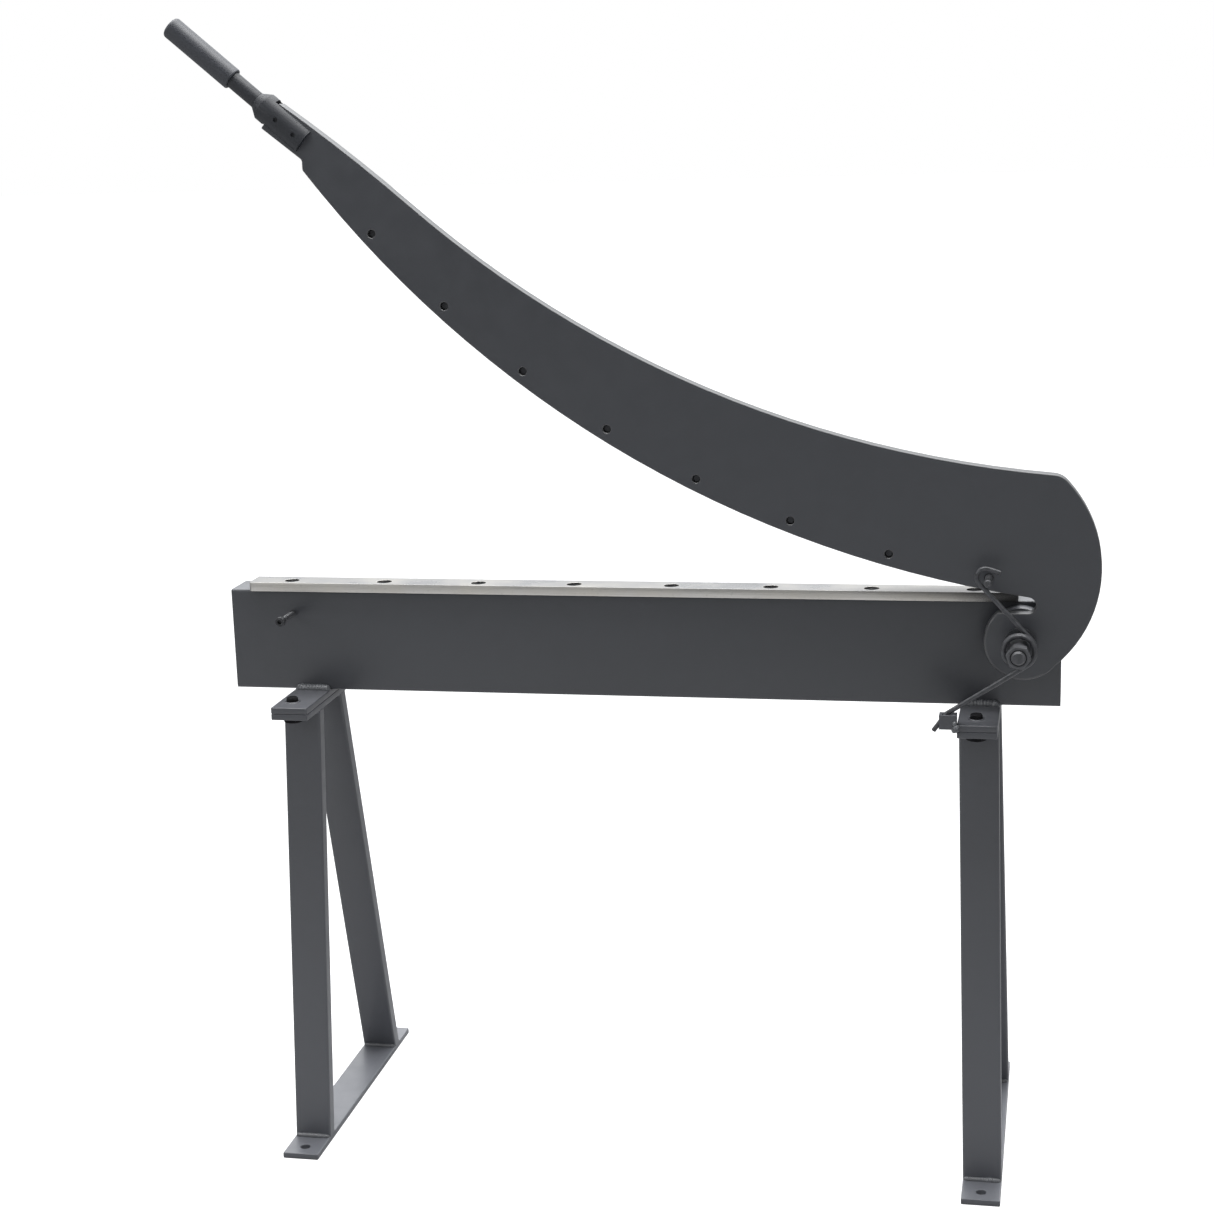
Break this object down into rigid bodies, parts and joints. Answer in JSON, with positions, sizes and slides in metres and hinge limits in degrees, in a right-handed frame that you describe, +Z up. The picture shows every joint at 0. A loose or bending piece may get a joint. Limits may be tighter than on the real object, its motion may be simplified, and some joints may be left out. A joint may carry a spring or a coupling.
{
  "type": "sheet metal shear",
  "caption": "Floor-standing hand-lever guillotine shear for sheet metal: a curved blade arm pivots on a long bed carried by splayed welded stands.",
  "frame": {"origin": "on the floor, in the middle of the four anchor holes in the base bars", "axes": "+Z up, -Y towards the operator, +X towards the pivot end of the bed"},
  "size_m": [1.1779, 0.435, 1.5146],
  "materials": {
    "frame_paint": "satin grey paint over rolled and welded steel",
    "arm_paint": "satin grey paint over flame-cut plate",
    "blade_steel": "ground tool steel",
    "black_steel": "black oxide",
    "spring_steel": "oiled black spring wire",
    "handle_black": "satin black paint over turned steel",
    "grip_rubber": "matt moulded rubber",
    "bronze": "oiled bronze"
  },
  "bodies": {
    "base": {"base_bar_left": "frame_paint", "base_bar_right": "frame_paint", "bed_beam": "frame_paint", "frame_bolts": "black_steel", "front_leg_left": "frame_paint", "front_leg_right": "frame_paint", "lower_blade": "blade_steel", "lower_blade_screws": "black_steel", "mount_plate_left": "frame_paint", "mount_plate_right": "frame_paint", "pivot_bolt": "black_steel", "pivot_nut": "black_steel", "pivot_spacer": "black_steel", "rear_leg_left": "frame_paint", "rear_leg_right": "frame_paint", "rear_washer": "black_steel", "spring_lug": "frame_paint", "spring_sleeve": "black_steel", "stand_plate_left": "frame_paint", "stand_plate_right": "frame_paint", "stop_screw": "black_steel", "thrust_washer": "black_steel", "torsion_spring": "spring_steel"},
    "arm": {"arm_plate": "arm_paint", "upper_blade": "blade_steel", "upper_blade_screws": "black_steel", "spring_hook_screw": "black_steel", "handle_ferrule": "handle_black", "handle_rod": "handle_black", "grip": "grip_rubber", "cross_pins": "black_steel", "pivot_bush": "bronze"}
  },
  "joints": [
    {"name": "arm_pivot", "type": "hinge", "parent": "base", "child": "arm", "pos_m": [0.4985, -0.1172, 0.721], "axis": [0, 1, 0], "range_deg": [-30.4, 5], "stiffness_Nm_per_rad": 20, "springref_deg": 34.38, "deforming": ["torsion_spring"]}
  ]
}
